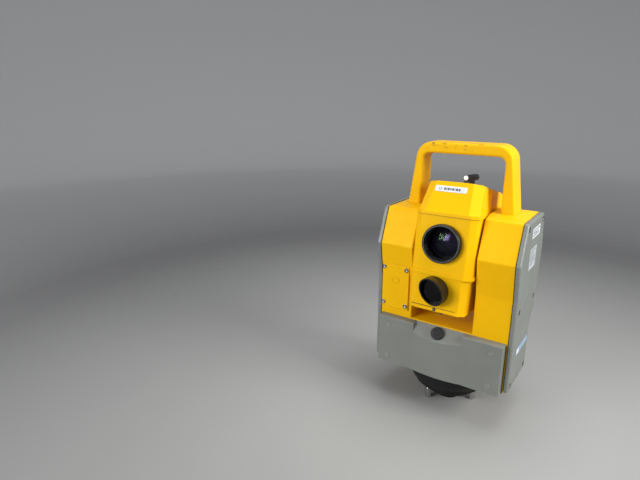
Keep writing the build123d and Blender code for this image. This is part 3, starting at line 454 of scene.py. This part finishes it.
# Objective: heights run forward from the turning axis
objective_at = tube_facing(0, 0, 0)
inner_lens_radius, inner_lens_crown, inner_lens_fall = 18.7, 52.2, 67
piece("objective_baffle", "telescope", black_coating, [
    (lathe([(18.9, 41.5), (18.9, 40.5), (10.4, 14), (9.6, 14), (9.6, 15), (18.1, 41.5)], closed=True),
     objective_at)])
piece("objective_inner_lens", "telescope", lens_coating(), [
    (lathe([(inner_lens_radius, 45)] + [(r, inner_lens_crown - r * r / inner_lens_fall)
                                        for r in (inner_lens_radius, 16, 13, 10, 7, 4, 2, 0)]),
     objective_at)])
piece("objective_thread", "telescope", materials["black_anodised"], [
    (lathe([(r + 0.30, h), (r + 0.05, h - 0.35), (r - 0.30, h), (r + 0.05, h + 0.35)], closed=True),
     objective_at)
    for r, h in ((23.4, 75), (22.85, 73), (22.3, 71))])
# Painted highlight: a thin ring on the objective's rim whose pale grey stands for the light line along its
# edge
piece("objective_rim_painted_highlight", "telescope", plug_plastic, [
    (lathe([(24.5, 76.9), (24.5, 77.08), (24.8, 77.08), (24.8, 76.9)], closed=True), objective_at)])

# Foot of the tracker cover, which leans with the cover's taper
foot_lean = -2.75
foot_screw_at = tube_facing(-2.7, -67.0, -94.8, foot_lean)
piece("foot_screw", "telescope", black_coating, [
    (lathe([(2.3, 0), (2.3, 0.9), (1.8, 1.3), (0.9, 1.3), (0.9, 0.7), (0, 0.7)]), foot_screw_at)])
piece("foot_screw_socket", "telescope", materials["bare_aluminium"], [
    (lathe([(0.85, 0.6), (0.85, 0.9), (0, 0.95)]), foot_screw_at)])
piece("guide_light_window", "telescope", black_coating, [
    (lathe([(1.3, 0), (1.3, 0.3), (0, 0.6)]), tube_facing(5.7, -60.5, -100.0))])
piece("foot_lip", "telescope", materials["yellow_paint"], [
    (plate(64, 4.8, 1.9, 0.8, 0.5), tube_facing(-5.5, -65.2, -95.2, foot_lean))])
# Painted shadow: a black strip standing for the shadow line in the recess above the foot lip
piece("foot_lip_painted_shadow", "telescope", black_coating, [
    (plate(64, 0.6, 0.7, 0.1, 0.1), tube_facing(-5.5, -65.6, -92.5, foot_lean))])


# ---------------------------------------------------------------- panels, seams, labels and controls

def facing_front(x, y, z):
    """Facing the target; the point is in metres."""
    return facing((x, y, z), (0, -1, 0), (1, 0, 0))


def facing_left(x, y, z):
    """Facing left, with X running to the front; the point is in metres."""
    return facing((x, y, z), (-1, 0, 0), (0, -1, 0))


# Plugs in the front panel's wings, which lie behind its bulge, and black strips beside the panel that are
# painted shade in the corners between panel and covers
panel_low, panel_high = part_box("front_panel")
panel_middle = (panel_low[2] + panel_high[2]) / 2
panel_height = (panel_high[2] - panel_low[2]) / MM
wing_setback, shade_strip_gap, shade_strip_shortfall = 4.3, 0.8, 3
wing_face = panel_low[1] + wing_setback * MM
piece("panel_plugs", "alidade", plug_plastic, [
    (lathe([(3.95, -0.5), (3.95, 0.55), (3.5, 0.95), (2.6, 0.75), (0, 0.75)]),
     facing_front(x * MM, wing_face, z * MM))
    for x in (-77, 77) for z in (70, 121)])
# Painted shade: black strips in the shaded corners beside the panel
piece("panel_painted_shade_strips", "alidade", black_coating, [
    (plate(0.9, panel_height - shade_strip_shortfall, 0.5, 0.3, 0.15),
     facing_front(side * (panel_high[0] + shade_strip_gap * MM), panel_high[1], panel_middle - 1 * MM))
    for side in (-1, 1)])

# Washers of the service plate's screws
service_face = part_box("service_plate")[0][1]
piece("service_washers", "alidade", black_coating, [
    (lathe([(2.2, 0.6), (2.4, 1.75), (3.2, 1.45), (3.55, 0), (3.4, -0.05)], closed=True),
     facing_front(x * MM, service_face, z * MM))
    for x in (-91.2, -55.2) for z in (152.9, 209.6)])

# Antenna cap: moulded rings on its face, which lies a little past the connector
connector = mounts["antenna_connector"]
cap_past_connector = 1.9
cap_face = shifted(facing(connector["pos_m"], connector["axis"], (1, 0, 0)), z=cap_past_connector)
piece("antenna_cap_rings", "antenna_cap", materials["black_rubber"], [
    (lathe([(r + 0.5, -0.05), (r + 0.25, 0.4), (r - 0.25, 0.4), (r - 0.5, -0.05)], closed=True), cap_face)
    for r in (2.6, 5.6)])

# Dark seats of the side-cover screws
screw_seats = [(-38.4, 291), (40, 290), (-41.7, 178), (38, 176), (-46, 70), (26, 70)]
for cover, face, normal in (("right", 1, (1, 0, 0)), ("left", 0, (-1, 0, 0))):
    side_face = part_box(cover + "_side_cover")[face][0]
    piece(cover + "_cover_washers", "alidade", black_coating, [
        (lathe([(2.0, -0.05), (2.1, 0.08), (3.9, 0.08), (4.1, -0.05)], closed=True),
         facing((side_face, y * MM, z * MM), normal, (0, 1, 0)))
        for y, z in screw_seats])

# Dark gaskets in the telescope's two seams, standing slightly proud of its outline
tube_at = facing(tube_origin, tube_up, tube_across)
tube_corners = [(34, -69), (43.4, -62), (43.4, 52), (36, 60), (-36, 60), (-43.4, 52), (-43.4, -62),
                (-34, -69)]
gasket_proud, gasket_thickness = 1.003, 0.45


def rounded(points, radius, steps=5):
    """Outline whose corners are rounded, as a list of points in mm."""
    smooth = []
    for before, corner, after in zip(points[-1:] + points[:-1], points, points[1:] + points[:1]):
        corner = Vector(corner)
        start = corner + (Vector(before) - corner).normalized() * radius
        end = corner + (Vector(after) - corner).normalized() * radius
        for k in range(steps + 1):
            t = k / steps
            smooth.append(start * (1 - t) ** 2 + corner * 2 * t * (1 - t) + end * t ** 2)
    return smooth


piece("telescope_gaskets", "telescope", black_coating, [
    ([[(p.x * gasket_proud, p.y * gasket_proud, z + step) for p in rounded(tube_corners, 2.2)]
      for step in (0, gasket_thickness)], tube_at)
    for z in (36.5, -41.5)])

# Labels on the right cover
cover_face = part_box("right_side_cover")[1][0]


def on_right_cover(y, z):
    """On the right cover's face, at a place in mm."""
    return facing((cover_face, y * MM, z * MM), (1, 0, 0), (0, 1, 0))


piece("asset_label", "alidade", label_card, [(sticker(41, 14), on_right_cover(3.5, 280))])
piece("asset_label_print", "alidade", label_ink, print_rows(
    shifted(on_right_cover(3.5, 284), z=sticker_thickness),
    [[(-17, -6), (-4, 3), (5, 17)], [(-17, 2), (4, 12)], [(-17, -10), (-8, 15)]], 1.6, 3.6))
piece("service_label", "alidade", label_film, [(sticker(36, 30), on_right_cover(-1, 244))])
piece("service_label_print", "alidade", label_ink, print_rows(
    shifted(on_right_cover(-1, 255), z=sticker_thickness),
    [[(-15, -2), (0, 14)], [(-15, 6)], [(-15, -8), (-6, 4), (6, 12)], [(-15, 10)], [(-15, -1)]], 1.2, 4.6))
piece("strip_label", "alidade", label_blue, [(sticker(60, 9), on_right_cover(-2, 113.5))])
piece("strip_label_end", "alidade", label_card, [
    (plate(13, 8.2, 0.05, 0.6, 0.02), shifted(on_right_cover(-24, 113.5), z=sticker_thickness))])

# Left side: battery ribs, latch ribs and knob caps
battery_low, battery_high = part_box("battery_pack")
battery_middle = (battery_low[1] + battery_high[1]) / 2
piece("battery_ribs", "battery", materials["black_plastic"], [
    (plate(40, 2, 1.0, 0.8, 0.3), facing_left(battery_low[0] + 0.2 * MM, battery_middle, z * MM))
    for z in range(132, 172, 5)])
latch_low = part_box("battery_latch")[0]
piece("battery_latch_ribs", "battery_latch", materials["black_plastic"], [
    (plate(9, 0.7, 0.5, 0.2, 0.15), facing_left(latch_low[0], battery_middle, latch_low[2] + up * MM))
    for up in (1.8, 3, 4.2)])
for knob in ("horizontal", "vertical"):
    low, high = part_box(knob + "_motion_knob")
    knob_at = facing_left(low[0], (low[1] + high[1]) / 2, (low[2] + high[2]) / 2)
    piece(knob + "_knob_cap", knob + "_knob", materials["black_plastic"], [
        (lathe([(9.6, -0.05), (9.3, 0.35), (8.4, 0.35), (8.1, -0.05)], closed=True), knob_at)])
    piece(knob + "_knob_index", knob + "_knob", legend_print, [
        (plate(0.9, 3.2, 0.12, 0.3, 0.04), shifted(knob_at, 0, 6.0))])

# Scale on the eyepiece ring's rear face, with a longer middle mark
scale_radius, scale_back, scale_step = 15.6, 85.5, 14
scale_marks = []
for k in range(-4, 5):
    angle = radians(scale_step * k)
    outward = tube_across * sin(angle) + tube_up * cos(angle)
    along = tube_across * cos(angle) - tube_up * sin(angle)
    mark_at = facing(tube_point(0, scale_back, 0) + outward * scale_radius * MM, tube_back, along)
    scale_marks.append((plate(0.7, 1.8 if k else 3.0, 0.12, 0.2, 0.04), mark_at))
piece("eyepiece_scale", "eyepiece_ring", legend_print, scale_marks)


# ---------------------------------------------------------------- control unit: legends and display content

key_normal = -Vector(joints["power_key_press"]["axis"])
key_across = Vector((-1, 0, 0))


def panel_face(node):
    """Matrix on the outer face of a node of the control unit, X across the panel."""
    low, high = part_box(node)
    middle = (Vector(low) + Vector(high)) / 2
    top = max((Vector(v.co) - middle).dot(key_normal) for v in frame["nodes"][node].data.vertices) / MM
    return shifted(facing(middle, key_normal, key_across), z=top)


def font_shape(name, body, material, text, size, where):
    """Raised digits or a sign, as a mesh."""
    curve = bpy.data.curves.new(name, "FONT")
    curve.body = text
    curve.size = size * MM
    curve.extrude = print_depth * MM
    curve.align_x, curve.align_y = "CENTER", "CENTER"
    writing = bpy.data.objects.new(name + "_curve", curve)
    mesh = bpy.data.meshes.new_from_object(writing)
    bpy.data.objects.remove(writing)
    mesh.transform(where)
    mesh.materials.clear()
    mesh.materials.append(material)
    made = bpy.data.objects.new(name, mesh)
    scene.collection.objects.link(made)
    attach(made, body)


keypad_at = panel_face("keypad")
sign_size, key_pitch_across, key_pitch_down = 6, 18, 14
for index, sign in enumerate("789456123-0+"):
    row, column = divmod(index, 3)
    font_shape("keypad_sign_" + str(index), "control_unit", legend_print, sign, sign_size,
               shifted(keypad_at, key_pitch_across * (column - 1), key_pitch_down * (1.5 - row)))
display_rows = [[(-40, -31), (-29, -18), (20, 40)], [(-40, -36), (-33, -20), (8, 14), (16, 25)],
                [(-40, -30), (8, 18), (20, 29)], [(-40, -34), (-32, -25), (8, 22)], [],
                [(-40, -26), (-18, -4), (4, 18), (26, 40)]]
piece("display_content", "control_unit", display_ink,
      print_rows(shifted(panel_face("display_window"), 0, 15.5), display_rows, 2.4, 6.2))
piece("power_key_mark", "power_key", display_ink, [(printed_ring(1.7, 1.2), panel_face("power_key"))])
for key, width in (("escape_key", 4.5), ("function_key", 2.5), ("enter_key", 6.5)):
    piece(key + "_mark", key, display_ink, [(plate(width, 1.0, print_depth, 0.3, 0.02), panel_face(key))])


# ---------------------------------------------------------------- floor and lights

def stage_material():
    """Pale grey near the object, then darker further out as painted shade, and palest on the wall as
    painted light.
    """
    n = Nodes("studio_floor", Specular_IOR_Level=0.1)
    far = n.add("ShaderNodeVectorMath", {0: n.place}, operation="LENGTH").outputs["Value"]
    near_colour = n.mix(n.between(n.noise(0.6, 3), 0.3, 0.7), (0.30, 0.30, 0.29), (0.33, 0.33, 0.32))
    # Painted shade: the floor darkens between 0.22 m and 0.9 m out
    colour = n.mix(n.between(far, 0.22, 0.9), near_colour, (0.16, 0.16, 0.16))
    # Painted light: from 1 m out the colour rises to the palest grey on the wall
    colour = n.mix(n.between(far, 1.0, 2.6), colour, (0.62, 0.62, 0.61))
    return n.finish(colour, n.between(n.noise(0.05, 3), 0.3, 0.7, 0.55, 0.65))


def studio_floor(radius=2.4, sweep=0.9, height=1.5, segments=96, steps=12):
    """Round pale floor that sweeps up into a low wall."""
    profile = [(0.02, 0), (0.4, 0), (radius, 0)]
    profile += [(radius + sweep * sin(a), sweep * (1 - cos(a)))
                for a in (pi / 2 * k / steps for k in range(1, steps + 1))]
    profile.append((radius + sweep, height))
    form = bmesh.new()
    rings = []
    for r, z in profile:
        rings.append([form.verts.new((r * cos(2 * pi * k / segments), r * sin(2 * pi * k / segments), z))
                      for k in range(segments)])
    form.faces.new(rings[0])
    for low, high in zip(rings, rings[1:]):
        for k in range(segments):
            form.faces.new((low[k], low[(k + 1) % segments], high[(k + 1) % segments], high[k]))
    mesh = bpy.data.meshes.new("studio_floor")
    form.to_mesh(mesh)
    form.free()
    mesh.shade_smooth()
    mesh.materials.append(stage_material())
    floor = bpy.data.objects.new("studio_floor", mesh)
    scene.collection.objects.link(floor)


studio_floor()


def softbox(name, place, target, size, power):
    """Rectangular area light aimed at a point."""
    lamp = bpy.data.lights.new(name, "AREA")
    lamp.shape = "RECTANGLE"
    lamp.size, lamp.size_y = size
    lamp.energy = power
    box = bpy.data.objects.new(name, lamp)
    box.location = place
    box.rotation_euler = (Vector(target) - Vector(place)).to_track_quat("-Z", "Y").to_euler()
    scene.collection.objects.link(box)


softbox("front_light", (-0.72, -1.40, 0.66), (0, 0, 0.20), (0.8, 0.7), 18.3)
softbox("side_light", (0.95, -0.05, 0.66), (0, 0, 0.50), (0.5, 0.5), 13.5)
softbox("top_light", (0.1, 0.2, 1.7), (0, 0, 0.2), (1.0, 1.0), 15.5)

world = bpy.data.worlds.new("studio")
world.use_nodes = True
sky = world.node_tree.nodes["Background"].inputs
sky["Color"].default_value = (0.9, 0.93, 1.0, 1)
sky["Strength"].default_value = 0.32
scene.world = world
